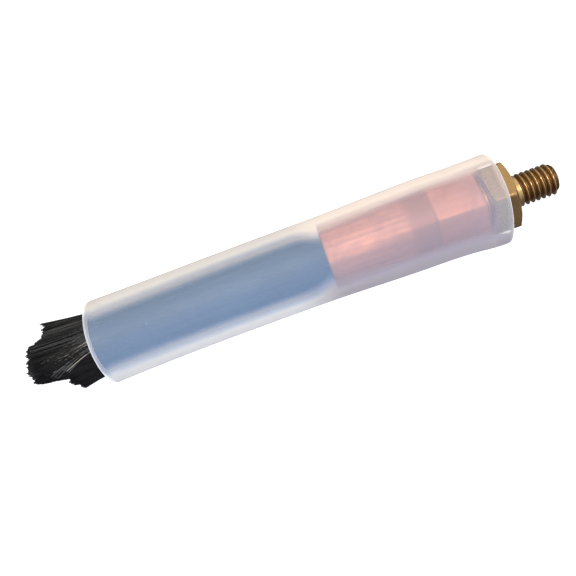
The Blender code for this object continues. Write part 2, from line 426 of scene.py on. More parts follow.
siliconeLook = {
    "overFibre": (0.345, 0.51, 0.80),
    "overCopper": (0.60, 0.57, 0.72),
    "overBrass": (0.62, 0.66, 0.74),
    "slantFibre": (0.70, 0.68, 0.67),    # the wall's tints where it turns away from the viewer; over the metal it is painted light on the upper side and painted shade on the lower
    "slantPaintedLight": (0.87, 0.78, 0.72),
    "slantPaintedShade": (0.38, 0.34, 0.38),
    # a darker line along the wall's silhouette: painted shade
    "paintedShadeOutline": (0.42, 0.41, 0.43),
    "cutEdge": (0.96, 0.96, 0.98),
    "through": (1.0, 0.93, 0.85),
    # where each tint takes over from the last, before and after an edge of the core
    "atMouth": (-0.3, 0.5), "atHexagon": (-0.8, 0.2), "paintedLightSpan": (-2.0, 2.0), "nearMetal": (-9.0, 3.0),
    "slant": (0.215, 0.50), "paintedShadeOutlineFrom": (0.78, 1.0),
    # the bundle is narrower at the ferrule's mouth, so the wall whitens sooner there
    "taper": (-7.0, 0.0), "taperPower": 2.2, "taperAmount": 0.16,
    # how milky one face of the wall is, seen straight on and at a slant, and what adds to it
    "body": 0.25, "grazing": 0.50, "cloud": 0.020, "dust": 0.04, "streak": 0.035, "scuff": 0.09,
    "cutMilk": 0.55,
    "roughness": 0.36, "streakRoughness": 0.10,
}


def makeSilicone(core):
    # the wall takes its tint from what it holds there: fibres, copper or brass, found in the core's space;
    # at a slant over the metal it carries painted light above and painted shade below, and along its
    # silhouette a painted shade line
    material, tree, shader = newMaterial("milkySilicone")
    cut = maskNode(tree, "cutEdge")
    streaks = placeGroup(tree, streaksGroup, Fineness=1500.0, Contrast=0.6)
    flecks = placeGroup(tree, flecksGroup, Density=430.0, Size=0.07)
    cloud = placeGroup(tree, tarnishGroup, Size=95.0, Amount=1.0)
    held = tree.nodes.new("ShaderNodeTexCoord")
    held.object = core
    split = tree.nodes.new("ShaderNodeSeparateXYZ")
    feed(tree, split.inputs["Vector"], held.outputs["Object"])
    layer = tree.nodes.new("ShaderNodeLayerWeight")
    layer.inputs["Blend"].default_value = 0.5
    facing = layer.outputs["Facing"]

    def passing(axis, edge, span):
        before, after = siliconeLook[span]
        return rampNode(tree, split.outputs[axis], edge + before * mm, edge + after * mm)

    mouth = shoulder + ferruleShape["mouth"] * mm
    hexBack = shoulder - fitting["hexLength"] * mm
    onMetal = passing("X", mouth, "atMouth")
    onBrass = passing("X", hexBack, "atHexagon")
    above = passing("Y", 0.0, "paintedLightSpan")
    taper = mathNode(tree, "POWER", passing("X", mouth, "taper"), siliconeLook["taperPower"])
    onFibre = rampNode(tree, onMetal, 0.0, 1.0, siliconeLook["taperAmount"], 0.0)
    narrow = mathNode(tree, "MULTIPLY", taper, onFibre)
    slant = rampNode(tree, mathNode(tree, "ADD", facing, narrow), *siliconeLook["slant"])
    paintedShadeOutline = rampNode(tree, facing, *siliconeLook["paintedShadeOutlineFrom"])
    tint = mixColour(tree, onMetal, siliconeLook["overFibre"], siliconeLook["overCopper"])
    tint = mixColour(tree, onBrass, tint, siliconeLook["overBrass"])
    # over the metal the slanted wall is painted lighter above the axis and darker below it: painted light
    # and painted shade
    slantPaintedLightAndShade = mixColour(tree, above, siliconeLook["slantPaintedShade"], siliconeLook["slantPaintedLight"])
    slantTint = mixColour(tree, passing("X", mouth, "nearMetal"), siliconeLook["slantFibre"], slantPaintedLightAndShade)
    tint = mixColour(tree, slant, tint, slantTint)
    # the darker line along the silhouette is painted shade
    tint = mixColour(tree, paintedShadeOutline, tint, siliconeLook["paintedShadeOutline"])
    feed(tree, shader.inputs["Base Color"], mixColour(tree, cut, tint, siliconeLook["cutEdge"]))
    rough = weightedSum(tree, siliconeLook["roughness"],
                        (streaks.outputs["Streak"], siliconeLook["streakRoughness"]))
    feed(tree, shader.inputs["Roughness"], rough)
    bump = bumpNode(tree, streaks.outputs["Height"], strength=0.12, distance=0.00008)
    feed(tree, shader.inputs["Normal"], bump)
    milk = weightedSum(tree, siliconeLook["body"],
                       (slant, siliconeLook["grazing"]),
                       (cloud.outputs["Mask"], siliconeLook["cloud"]),
                       (flecks.outputs["Dust"], siliconeLook["dust"]),
                       (streaks.outputs["Streak"], siliconeLook["streak"]),
                       (flecks.outputs["Scuff"], siliconeLook["scuff"]),
                       (cut, siliconeLook["cutMilk"]), clamp=True)
    clear = tree.nodes.new("ShaderNodeBsdfTransparent")
    feed(tree, clear.inputs["Color"], siliconeLook["through"])
    mixer = tree.nodes.new("ShaderNodeMixShader")
    for socket, value in zip(mixer.inputs, (milk, clear.outputs[0], shader.outputs[0])):
        feed(tree, socket, value)
    feed(tree, tree.nodes["Material Output"].inputs["Surface"], mixer.outputs[0])
    return material


fibreLook = {
    "dark": (0.007, 0.007, 0.009),
    "grey": (0.110, 0.112, 0.114),
    # on the crossing fibres the grey and pale tones are painted glints
    "paintedGlint": (0.40, 0.37, 0.33),
    "greyFrom": (0.52, 0.94), "paintedGlintFrom": (0.95, 0.99),      # the tones at which each starts and is full
    "roughness": 0.30, "streakRoughness": 0.18, "shine": 0.35,
}


def makeFibre():
    material, tree, shader = newMaterial("blackFibre")
    tone = maskNode(tree, "tone")
    streaks = placeGroup(tree, streaksGroup, Fineness=5200.0, Contrast=1.0)
    grey = rampNode(tree, tone, *fibreLook["greyFrom"])
    # the palest tone is a painted glint
    paintedGlint = rampNode(tree, tone, *fibreLook["paintedGlintFrom"])
    colour = mixColour(tree, grey, fibreLook["dark"], fibreLook["grey"])
    feed(tree, shader.inputs["Base Color"], mixColour(tree, paintedGlint, colour, fibreLook["paintedGlint"]))
    rough = weightedSum(tree, fibreLook["roughness"],
                        (streaks.outputs["Streak"], fibreLook["streakRoughness"]))
    feed(tree, shader.inputs["Roughness"], rough)
    shader.inputs["Specular IOR Level"].default_value = fibreLook["shine"]
    return material


brass = makeBrass()
copper = makeCopper()
fibre = makeFibre()
print("materials made")


# Brass fitting
fitting = {
    "flats": 11.9, "hexLength": 4.7, "faceRadius": 5.75, "backRadius": 5.8, "chamferSlope": 2.00,
    "hexSharpness": 70.0, "chamferRings": 12, "sideFront": -0.85, "backWear": 0.5, "wearWidth": 0.25,
    "stud": 6.0, "pitch": 1.0, "neck": 1.25, "studLength": 8.5, "tipChamfer": 0.75, "tipSlope": 0.95,
    # shares of the pitch, and of the way from the crest's middle to the root's
    "threadDepth": 0.613, "fadeIn": 0.55, "crest": 0.13, "flank": 0.66, "rootFrom": 0.82,
    "grooveHollow": 0.85, "crestWear": 0.9, "crestFall": 4,
    "spigot": 4.35, "spigotEnd": -14.9, "backInset": 0.3, "threadOverlap": 0.1,
    "backHollow": 0.2, "cornerHollow": 0.1, "faceHollow": 0.1, "tipHollow": 0.1, "tipWear": 0.2,
    "spigotTip": ((0.0, 0.5), (0.15, 0.15), (0.5, 0.0)),         # place from its end, drop in radius
    "backStep": ((-0.15, 0.0), (0.0, 0.15)),                     # from the hexagon's back, from the spigot
    "faceEdge": ((-0.03, 0.06, 0.9), (0.0, 0.18, 0.5)),          # place, drop in radius, edge
    "sideRings": (0.1, 0.9, 7), "faceRings": (5.1, 3.6, 5),      # first, last and how many
    # on the neck the edge values, the last in each ring, are a painted highlight that brightens the brass
    "neckRings": ((0.0, 3.25, 0.5), (0.06, 3.08, 0.6), (0.22, 3.0, 0.3, 0.4), (0.9, 3.0, 0.0, 0.7)),
    "tipRings": (0.97, 0.85, 0.6, 0.3, 0.08), "tipDome": 0.03,
    "around": 144, "ringsPerTurn": 18,
}


def threadRadius(along, angle):
    # right-hand 60 degree thread with a narrow flat crest and a rounded root
    pitch = fitting["pitch"]
    phase = (along / pitch + angle / (2 * math.pi)) % 1.0
    away = np.abs(phase - 0.5) * 2               # 0 at the crest's middle, 1 at the root's middle
    root = fitting["rootFrom"]
    groove = np.clip((away - fitting["crest"]) / fitting["flank"], 0.0, 1.0)
    rounded = root + (1 - root) * np.sin((groove - root) / (1 - root) * math.pi / 2)
    groove = np.where(groove > root, rounded, groove)
    fade = ease((along - fitting["neck"]) / (fitting["fadeIn"] * pitch))
    radius = fitting["stud"] / 2 - fitting["threadDepth"] * pitch * groove * fade
    fromTip = fitting["studLength"] - along
    cone = fitting["stud"] / 2 - fitting["tipChamfer"] + fromTip * fitting["tipSlope"]
    return np.minimum(radius, cone), groove * fade


def makeFitting():
    around = fitting["around"]
    angle = directions(around)
    hexRadius = roundedHexagon(angle, fitting["flats"], fitting["hexSharpness"])
    rings, add = ringList(around, 2)
    for place, drop in fitting["spigotTip"]:
        add(fitting["spigotEnd"] + place, fitting["spigot"] - drop)
    back = -fitting["hexLength"]
    for place, rise in fitting["backStep"]:
        add(back + place, fitting["spigot"] + rise, fitting["cornerHollow"])
    add(back, fitting["backRadius"] - fitting["backInset"], fitting["backHollow"])

    # the hexagon between its two chamfers, with a ring wherever a chamfer meets a direction's radius
    face, slope = fitting["faceRadius"], fitting["chamferSlope"]
    steps = np.linspace(face, fitting["flats"] / math.sqrt(3), fitting["chamferRings"])
    reach = np.unique(np.round(np.concatenate([steps, hexRadius]), 3))
    for size in reach[reach >= fitting["backRadius"]][::2]:
        place = back + (size - fitting["backRadius"]) / slope
        add(place, np.minimum(size, hexRadius), 0.0, fitting["backWear"])
    for share in np.linspace(*fitting["sideRings"]):
        add(blend(back, fitting["sideFront"], share), hexRadius)
    for size in reach[reach >= face][::-2]:
        edge = np.clip(1 - np.abs(hexRadius - size) / fitting["wearWidth"], 0, 1)
        add(-(size - face) / slope, np.minimum(size, hexRadius), 0.0, edge)
    for place, drop, edge in fitting["faceEdge"]:
        add(place, face - drop, 0.0, edge)
    for radius in np.linspace(*fitting["faceRings"]):
        add(0.0, radius, fitting["faceHollow"])
    for ring in fitting["neckRings"]:
        add(*ring)

    neck, end = fitting["neck"], fitting["studLength"]
    threadRings = round((end - neck) * fitting["ringsPerTurn"]) + 1
    for along in np.linspace(neck - fitting["threadOverlap"], end, threadRings):
        radius, groove = threadRadius(along * np.ones(around), angle)
        wear = np.clip(1 - groove * fitting["crestFall"], 0, 1) * fitting["crestWear"]
        add(along, radius, fitting["grooveHollow"] * groove ** 2, wear)
    tip = radius.min()
    for share in fitting["tipRings"]:
        place = end + fitting["tipDome"] * (1 - share)
        add(place, tip * share, fitting["tipHollow"], fitting["tipWear"])
    piece = turnedMesh("brassFitting", rings, ("hollow", "edge"))
    piece.data.materials.append(brass)
    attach(piece, "brush")
    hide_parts("stud_fitting")


makeFitting()
print("brass fitting made")


# Copper ferrule
ferruleShape = {
    "rear": -5.8, "mouth": -34.9, "wall": 1.3, "rounding": 0.3, "innerChamfer": 0.1,
    "rearCrimpFront": -14.3, "bandRear": -15.0, "bandFront": -18.7, "frontCrimpRear": -20.3,
    # width across flats, sharpness of the corners, and the circle that the faces bulge towards, as a
    # share of that width, and how far they do
    "rearCrimp": (11.9, 40.0, 0.56, 0.34),
    "frontCrimp": (11.3, 26.0, 0.54, 0.40),
    "band": (11.6, 24.0, 0.53, 0.45),
    "mouthRadius": 5.84, "mouthCorners": 0.02, "mouthRound": 0.85,
    "lip": 0.10, "lipReach": 0.9,
    # the jaws leave long ridges in the front crimp and a slight bellying between the crimps
    "ridges": {"seed": 3, "waves": 34, "reach": 60.0, "count": 14, "height": 0.045},
    "dents": {"seed": 5, "waves": 7, "reach": 9.0, "count": 12, "height": 0.030},
    # how dark each part is with tarnish, with painted shade in the band between the crimps, and how softly
    # that painted shade starts and ends
    "hollow": {"band": 0.65, "rearEdge": 0.1, "rearFace": 0.2, "bore": 0.7,
               "mouthFace": 0.5, "mouthEdge": 0.15},
    "shadeBandStart": 2.6, "shadeBandStartRun": 3.2, "shadeBandEndRun": 0.8,
    "around": 216, "step": 0.16, "boreRings": 40,
}


def crimpedTube(angle, flats, sharpness, circle, belly):
    return blend(roundedHexagon(angle, flats, sharpness), flats * circle, belly)


def ferruleOuter(along, angle):
    shape = ferruleShape
    frontRear, mouth = shape["frontCrimpRear"], shape["mouth"]
    towardMouth = ease((frontRear - along) / (frontRear - mouth))
    mouthRing = shape["mouthRadius"] + shape["mouthCorners"] * np.cos(6 * (angle - cornerTurn))
    front = crimpedTube(angle, *shape["frontCrimp"])
    front = blend(front, mouthRing, towardMouth * shape["mouthRound"])
    intoRear = ease((along - shape["bandRear"]) / (shape["rearCrimpFront"] - shape["bandRear"]))
    intoFront = ease((shape["bandFront"] - along) / (shape["bandFront"] - frontRear))
    radius = blend(crimpedTube(angle, *shape["band"]), crimpedTube(angle, *shape["rearCrimp"]), intoRear)
    radius = blend(radius, front, intoFront)
    ridges = ripple(along, angle, **shape["ridges"]) * intoFront
    dents = ripple(along, angle, **shape["dents"])
    lip = shape["lip"] * ease(1 - np.abs(along - mouth - shape["lipReach"]) / shape["lipReach"])
    return radius + ridges + dents + lip


def ferruleBow(along):
    return lean["tubeShare"] * bow(along)


def makeFerrule():
    shape = ferruleShape
    angle = directions(shape["around"])
    rounding, wall, hollow = shape["rounding"], shape["wall"], shape["hollow"]
    front, rear = shape["mouth"] + rounding, shape["rear"] - rounding
    count = round((shape["rear"] - shape["mouth"] - 2 * rounding) / shape["step"])
    frontEdge, rearEdge = ferruleOuter(front, angle), ferruleOuter(rear, angle)
    turns = cornerSteps(4)
    rings, add = ringList(shape["around"], 1)

    def addCorner(end, outwards, edge, corner, darkness):
        for turn in corner:
            place = end + outwards * rounding * math.sin(turn)
            add(place, edge - rounding * (1 - math.cos(turn)), darkness)

    for along in np.linspace(front, rear, count):
        # the band between the crimps is darkened with painted shade
        band = ease((along - shape["bandFront"] + shape["shadeBandStart"]) / shape["shadeBandStartRun"])
        band = band * ease((shape["bandRear"] + shape["shadeBandEndRun"] - along) / shape["shadeBandEndRun"])
        add(along, ferruleOuter(along, angle), hollow["band"] * band)
    addCorner(rear, 1, rearEdge, turns, hollow["rearEdge"])
    add(shape["rear"], rearEdge - wall + shape["innerChamfer"], hollow["rearFace"])
    for along in np.linspace(rear, front, shape["boreRings"]):
        add(along, ferruleOuter(along, angle) - wall, hollow["bore"])
    add(shape["mouth"], frontEdge - wall + shape["innerChamfer"], hollow["mouthFace"])
    addCorner(front, -1, frontEdge, turns[::-1], hollow["mouthEdge"])
    piece = turnedMesh("copperFerrule", rings, ("hollow",), closed=True, bend=ferruleBow)
    piece.data.materials.append(copper)
    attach(piece, "brush")
    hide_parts("ferrule")
    return piece


ferrule = makeFerrule()
print("copper ferrule made")


# Silicone sleeve
sleeveShape = {
    "front": -79.4, "rear": -2.75, "outer": 7.82, "wall": 1.62,
    "flare": 0.30, "flareLength": 19.0,
    "stretchStart": -38.4, "crimpStart": -15.4, "crimpOuter": 8.18, "hexOuter": 8.46,
    "crimpBore": 14.2, "crimpSharpness": 5.0, "hexBore": 12.9, "hexSharpness": 30.0,
    # where the wall starts to take each shape under it, and over what length it does
    "outerHexStart": -10.4, "outerHexRun": 6.5, "boreHexStart": -6.0, "boreHexRun": 1.7,
    "cornerStart": -18.4, "cornerRun": 4.0, "crimpCorners": 0.03, "hexCorners": 0.05,
    "unevenness": {"seed": 8, "waves": 5, "reach": 34.0, "count": 9, "height": 0.02},
    "skew": 0.045, "slope": 0.055, "frontSlope": -0.026, "cutReach": 6.0,     # out of square at both ends
    "rounding": 0.12, "faceRings": (0.15, 0.85),
    # the wall is whiter next to each cut end, where light comes in through the cut face
    "frontWhite": 0.7, "frontWhiteRun": 0.4, "rearWhite": 0.6, "rearWhiteRun": 0.2,
    "cutFace": 0.35, "cutRim": 1.0, "cutBore": 0.3,
    "around": 192, "step": 0.5,
}


def skewedCut(along, across, height):
    reach = sleeveShape["cutReach"]
    nearRear = ease((along - sleeveShape["rear"] + reach) / reach)
    nearFront = ease((sleeveShape["front"] + reach - along) / reach)
    along = along + nearRear * (sleeveShape["skew"] * across + sleeveShape["slope"] * height)
    return along + nearFront * sleeveShape["frontSlope"] * height


def flareAt(along):
    fromStart = sleeveShape["front"] + sleeveShape["flareLength"] - along
    return sleeveShape["flare"] * np.clip(fromStart / sleeveShape["flareLength"], 0, 1) ** 2


def stretchAt(along):
    start = sleeveShape["stretchStart"]
    return ease((along - start) / (sleeveShape["crimpStart"] - start))


def sleeveOuter(along, angle):
    shape = sleeveShape
    onHex = ease((along - shape["outerHexStart"]) / shape["outerHexRun"])
    onCrimp = ease((along - shape["cornerStart"]) / shape["cornerRun"])
    radius = shape["outer"] + flareAt(along)
    radius = radius + (shape["crimpOuter"] - shape["outer"]) * stretchAt(along)
    radius = radius + (shape["hexOuter"] - shape["crimpOuter"]) * onHex
    corners = shape["crimpCorners"] * onCrimp + shape["hexCorners"] * onHex
    radius = radius + np.cos(6 * (angle - cornerTurn)) * corners
    return radius + ripple(along, angle, **shape["unevenness"])


def sleeveInner(along, angle):
    shape = sleeveShape
    relaxed = shape["outer"] - shape["wall"] + flareAt(along)
    onHex = ease((along - shape["boreHexStart"]) / shape["boreHexRun"])
    overCrimp = roundedHexagon(angle, shape["crimpBore"], shape["crimpSharpness"])
    overHex = roundedHexagon(angle, shape["hexBore"], shape["hexSharpness"])
    return blend(blend(relaxed, overCrimp, stretchAt(along)), overHex, onHex)


def makeSleeve():
    shape = sleeveShape
    angle = directions(shape["around"])
    front, rear, rounding = shape["front"], shape["rear"], shape["rounding"]
    count = round((rear - front - 2 * rounding) / shape["step"])
    body = np.linspace(front + rounding, rear - rounding, count)
    turns = cornerSteps(5)
    outerRear, innerRear = sleeveOuter(rear, angle) - rounding, sleeveInner(rear, angle) + rounding
    outerFront, innerFront = sleeveOuter(front, angle) - rounding, sleeveInner(front, angle) + rounding
    rings, add = ringList(shape["around"], 1)

    def whitening(along):
        atFront = shape["frontWhite"] * ease(1 - (along - front) / shape["frontWhiteRun"])
        atRear = shape["rearWhite"] * ease(1 - (rear - along) / shape["rearWhiteRun"])
        return np.clip(atFront + atRear, 0, 1)

    def addCorner(end, outwards, radius, bulge, corner, cut):
        # outwards is 1 at the rear end and -1 at the front, and bulge is 1 outside and -1 in the bore
        for turn in corner:
            place = end + outwards * rounding * (math.sin(turn) - 1)
            add(place, radius + bulge * rounding * math.cos(turn), cut)

    def addFace(end, start, stop):
        for share in shape["faceRings"]:
            add(end, blend(start, stop, share), shape["cutFace"])

    for along in body:
        add(along, sleeveOuter(along, angle), whitening(along))
    addCorner(rear, 1, outerRear, 1, turns, shape["cutRim"])
    addFace(rear, outerRear, innerRear)
    addCorner(rear, 1, innerRear, -1, turns[::-1], shape["cutBore"])
    for along in body[::-1]:
        add(along, sleeveInner(along, angle))
    addCorner(front, -1, innerFront, -1, turns, shape["cutRim"])
    addFace(front, innerFront, outerFront)
    addCorner(front, -1, outerFront, 1, turns[::-1], shape["cutRim"])
    piece = turnedMesh("siliconeSleeve", rings, ("cutEdge",), closed=True, bend=bow, skew=skewedCut)
    piece.data.materials.append(silicone)
    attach(piece, "sleeve")
    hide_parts("sleeve")


silicone = makeSilicone(ferrule)
makeSleeve()
print("silicone sleeve made")


# Fibre bundle
bundle = {
    "seed": 21, "coreReach": 0.43, "middleReach": 0.71,      # shares of the bundle's radius
    "count": 5600, "tufts": 64, "thickness": 0.060, "thicknessSpread": (0.85, 1.15),
    "paintedGlintTone": 0.95, "paintedGlintThicker": 1.2,
    "root": -16.0, "rootRadius": 4.2, "freeRadius": 5.92, "bulge": 6.0, "bulgePower": 2.2,
    "rimSwell": 0.08, "rimSwellRun": 16.0,
    "mouth": ferruleShape["mouth"], "rim": sleeveShape["front"],
    "stations": (0.7, 1.8, 3.6, 6.2, 14.0, 22.0, 30.0, 38.0),    # distances in front of the mouth
    "outside": (0.25, 0.5, 0.75, 1.0),   # shares of the length that stands out of the sleeve
    # inside the sleeve fibres wander to and fro, but not near the ferrule's mouth or past the rim
    "wander": 0.16, "wanderStart": 10.0, "wanderEnd": 8.0, "pastRim": 4.0,
    "sideWave": 5.0, "upWave": 6.0, "looseRoom": 0.02,
    "tuftTurn": 2.39996,                 # tufts are laid out in a sunflower's spiral
    "scatter": 0.004, "tuftScatter": 0.05,
    # leans are per millimetre outwards; slant runs from one side of the bundle to the other
    "slant": (-0.10, 0.08), "slantSpread": 0.012, "tuftSlant": 0.035,
    "lift": 0.02, "liftSpread": 0.010, "tuftLift": 0.025,
    "gather": 0.22,                      # each tuft draws together towards its tip
    "droop": 0.0012, "settle": 0.08,
    "rimLean": 0.8,                      # share of its lean that a fibre has at the rim already
    "tuftShort": 0.07, "lengthSpread": 0.15,
    "strays": 0.05, "strayLength": (0.5, 0.9),
    # some fibres near the top cross over the others, and their paler tones are painted glints
    "crossingAbove": 0.62, "crossingSides": (-0.12, 0.72), "crossingShare": 0.55,
    "crossingSlant": -0.34, "crossingSpread": 0.10, "crossingLift": 0.015, "crossingLength": (0.55, 0.85),
    "crossingGlintTone": (0.80, 0.2), "otherTone": 0.93, "tuftTone": 0.55,
    "cutBack": 0.45,                     # how much shorter fibres are, per millimetre above the axis
    "widening": 0.008,
    "firstLength": 12.0, "lengthRounds": 6, "lengthStep": 0.6,
    "teeth": ((0.22, 6.3, 1.0), (0.16, 14.6, 0.0)),      # depth, waves and shift of the cut end's teeth
    "drawnIn": 0.75,                     # share of its width that the bundle keeps inside the sleeve
    "pull": 15.5,                        # how far the sleeve comes forward over the fibres
    "sleeveRoom": 6.12, "tipRoom": 0.15, "leastRoom": 0.3,
    "insideTone": 0.35, "shownFrom": 3.0,        # grey tones and painted glints only show where the fibres stand out
}

# the ragged end: place across the bundle at the tips, and how far they stand out of the sleeve
raggedEnd = np.array([
    (-7.2, 6.9), (-6.3, 7.8), (-5.3, 9.3), (-4.7, 8.8), (-4.3, 10.2), (-3.9, 12.0), (-3.6, 15.2),
    (-2.2, 16.1), (-0.7, 16.3), (0.4, 16.0), (1.5, 15.7), (2.3, 15.3), (2.9, 14.9), (3.5, 14.8),
    (3.9, 12.9), (4.7, 11.4), (5.3, 10.9), (5.9, 11.0), (7.3, 10.9),
])


def bundleRadius(along):
    share = np.clip((bundle["mouth"] - along) / bundle["bulge"], 0.0, 1.0)
    swell = blend(bundle["rootRadius"], bundle["freeRadius"], 1 - (1 - share) ** bundle["bulgePower"])
    run = bundle["rimSwellRun"]
    nearRim = np.clip((bundle["rim"] + run - along) / run, 0.0, 1.0)
    return swell + bundle["rimSwell"] * nearRim ** 2


def fibrePaths():
    chance = np.random.default_rng(bundle["seed"])
    count = bundle["count"]
    order = np.arange(count) + 0.5
    reach = np.sqrt(order / count)
    turn = order * math.pi * (3 - math.sqrt(5))
    across = reach * np.sin(turn) + chance.normal(0, bundle["scatter"], count)
    height = reach * np.cos(turn) + chance.normal(0, bundle["scatter"], count)

    tufts = bundle["tufts"]
    tuftOrder = np.arange(tufts) + 0.5
    tuftReach = np.sqrt(tuftOrder / tufts)
    tuftAngle = tuftOrder * bundle["tuftTurn"]
    tuftAcross = tuftReach * np.sin(tuftAngle) + chance.normal(0, bundle["tuftScatter"], tufts)
    tuftHeight = tuftReach * np.cos(tuftAngle) + chance.normal(0, bundle["tuftScatter"], tufts)
    gaps = (across[:, None] - tuftAcross) ** 2 + (height[:, None] - tuftHeight) ** 2
    tuft = gaps.argmin(axis=1)
    tuftSlant = chance.normal(0, bundle["tuftSlant"], tufts)
    tuftLift = chance.normal(0, bundle["tuftLift"], tufts)
    tuftShort = chance.uniform(0.0, bundle["tuftShort"], tufts)
    tuftTone = chance.uniform(0.0, 1.0, tufts)

    rimRadius = bundleRadius(bundle["rim"])
    slant = blend(*bundle["slant"], (across + 1) / 2) + tuftSlant[tuft]
    slant = slant + chance.normal(0, bundle["slantSpread"], count)
    lift = bundle["lift"] * height + tuftLift[tuft] + chance.normal(0, bundle["liftSpread"], count)
    fromSide, toSide = bundle["crossingSides"]
    crossing = (height > bundle["crossingAbove"]) & (across > fromSide) & (across < toSide)
    crossing = crossing & (chance.uniform(0, 1, count) < bundle["crossingShare"])
    crossingSlant = bundle["crossingSlant"] + bundle["crossingSpread"] * chance.normal(0, 1, count)
    slant = np.where(crossing, crossingSlant, slant)
    lift = np.where(crossing, bundle["crossingLift"], lift)

    # solve the length so that each tip ends on the ragged outline, which is cut back towards the top
    startAcross = across * rimRadius
    startHeight = height * rimRadius
    length = np.full(count, bundle["firstLength"])
    for _ in range(bundle["lengthRounds"]):
        tipHeight = np.clip(startHeight + lift * length, 0.0, None)
        tipAcross = (startAcross + slant * length) * (1 + bundle["widening"] * tipHeight)
        wanted = np.interp(tipAcross, raggedEnd[:, 0], raggedEnd[:, 1]) - bundle["cutBack"] * tipHeight
        for depth, waves, shift in bundle["teeth"]:
            wanted = wanted + depth * np.sin(waves * tipAcross + shift)
        length = blend(length, wanted, bundle["lengthStep"])
    length = length * (1 - tuftShort[tuft]) - np.abs(chance.normal(0, bundle["lengthSpread"], count))
    length = np.where(crossing, length * chance.uniform(*bundle["crossingLength"], count), length)
    stray = chance.uniform(0, 1, count) < bundle["strays"]
    length = np.where(stray, length * chance.uniform(*bundle["strayLength"], count), length)

    mouth, rim = bundle["mouth"], bundle["rim"]
    inside = [bundle["root"], mouth, *[mouth - step for step in bundle["stations"]], rim]
    along = np.zeros((count, len(inside) + len(bundle["outside"])))
    side = np.zeros_like(along)
    up = np.zeros_like(along)
    waveSide = chance.uniform(0, 2 * math.pi, count)
    waveUp = chance.uniform(0, 2 * math.pi, count)
    for step, place in enumerate(inside):
        radius = bundleRadius(place)
        fromMouth = ease((mouth - place) / bundle["wanderStart"])
        toRim = ease((place - rim + bundle["pastRim"]) / bundle["wanderEnd"])
        loose = fromMouth * toRim * bundle["wander"]
        x = across * radius + loose * np.sin(waveSide + place / bundle["sideWave"])
        z = height * radius + loose * np.sin(waveUp + place / bundle["upWave"])
        away = np.maximum(np.hypot(x, z), 0.01)      # never zero
        shrink = np.minimum((radius + bundle["looseRoom"]) / away, 1.0)
        along[:, step] = place
        side[:, step] = x * shrink + bow(place)
        up[:, step] = z * shrink
    rimSide = side[:, len(inside) - 1].copy()
    rimUp = up[:, len(inside) - 1].copy()
    for step, share in enumerate(bundle["outside"]):
        index = len(inside) + step
        out = length * share
        pull = bundle["gather"] * share
        towardSide = (tuftAcross[tuft] - across) * rimRadius * pull
        towardUp = (tuftHeight[tuft] - height) * rimRadius * pull
        along[:, index] = rim - out
        leaning = blend(bundle["rimLean"], 1.0, share)
        side[:, index] = rimSide + slant * out * leaning + towardSide
        risen = rimUp + lift * out + towardUp - bundle["droop"] * out ** 2
        # every fibre's height leaves room for the sleeve once the bundle is drawn in; the bowed sleeve
        # then lies to one side over the tips and to the other over the roots
        drawn = side[:, index] * bundle["drawnIn"]
        drawn = np.maximum(drawn - bow(rim), bow(rim + bundle["pull"]) - drawn)
        bore = bundle["sleeveRoom"] + bundle["tipRoom"] * share
        room = np.sqrt(np.maximum(bore ** 2 - drawn ** 2, bundle["leastRoom"]))
        up[:, index] = np.clip(risen * (1 - bundle["settle"] * share), -room, room)
    share = bundle["tuftTone"]
    tone = np.clip(share * tuftTone[tuft] + (1 - share) * chance.uniform(0, 1, count), 0, 1)
    # the crossing fibres get paler tones: painted glints
    low, spread = bundle["crossingGlintTone"]
    crossingGlintTone = np.maximum(tone, low + spread * chance.uniform(0, 1, count))
    tone = np.where(crossing, crossingGlintTone, tone * bundle["otherTone"])
    return along, side, up, tone, reach, across


def tubeMesh(name, along, side, up, tone, seed):
    # one three-sided tube for each path, closed at both ends
    chance = np.random.default_rng(seed)
    count, stations = along.shape
    thickness = bundle["thickness"] * chance.uniform(*bundle["thicknessSpread"], count)
    thickness = thickness * np.where(tone > bundle["paintedGlintTone"], bundle["paintedGlintThicker"], 1.0)
    spin = chance.uniform(0, 2 * math.pi, count)
    points = np.zeros((count, stations, 3, 3))
    for corner in range(3):
        turn = spin + corner * 2 * math.pi / 3
        sideways = (thickness * np.sin(turn))[:, None]
        upwards = (thickness * np.cos(turn))[:, None]
        points[:, :, corner, :] = toWorld(along, side + sideways, up + upwards)
    base = (np.arange(count) * stations * 3)[:, None, None]
    ring = (np.arange(stations - 1) * 3)[None, :, None]
    corner = np.arange(3)[None, None, :]
    following = (corner + 1) % 3
    quads = np.stack([base + ring + corner, base + ring + following,
                      base + ring + 3 + following, base + ring + 3 + corner], axis=-1).reshape(-1, 4)
    starts = base[:, 0, 0]
    ends = starts + (stations - 1) * 3
    rootCaps = np.stack([starts + 2, starts + 1, starts], axis=-1)
    tipCaps = np.stack([ends, ends + 1, ends + 2], axis=-1)
    faces = quads.tolist() + rootCaps.tolist() + tipCaps.tolist()
    mesh = bpy.data.meshes.new(name)
    mesh.from_pydata(points.reshape(-1, 3).tolist(), [], faces)
    shown = np.where(along < bundle["rim"] + bundle["shownFrom"], 1.0, bundle["insideTone"])
    addMask(mesh, "tone", np.repeat((tone[:, None] * shown).ravel(), 3))
    mesh.shade_smooth()
    piece = placeObject(name, mesh)
    piece.data.materials.append(fibre)
    return piece


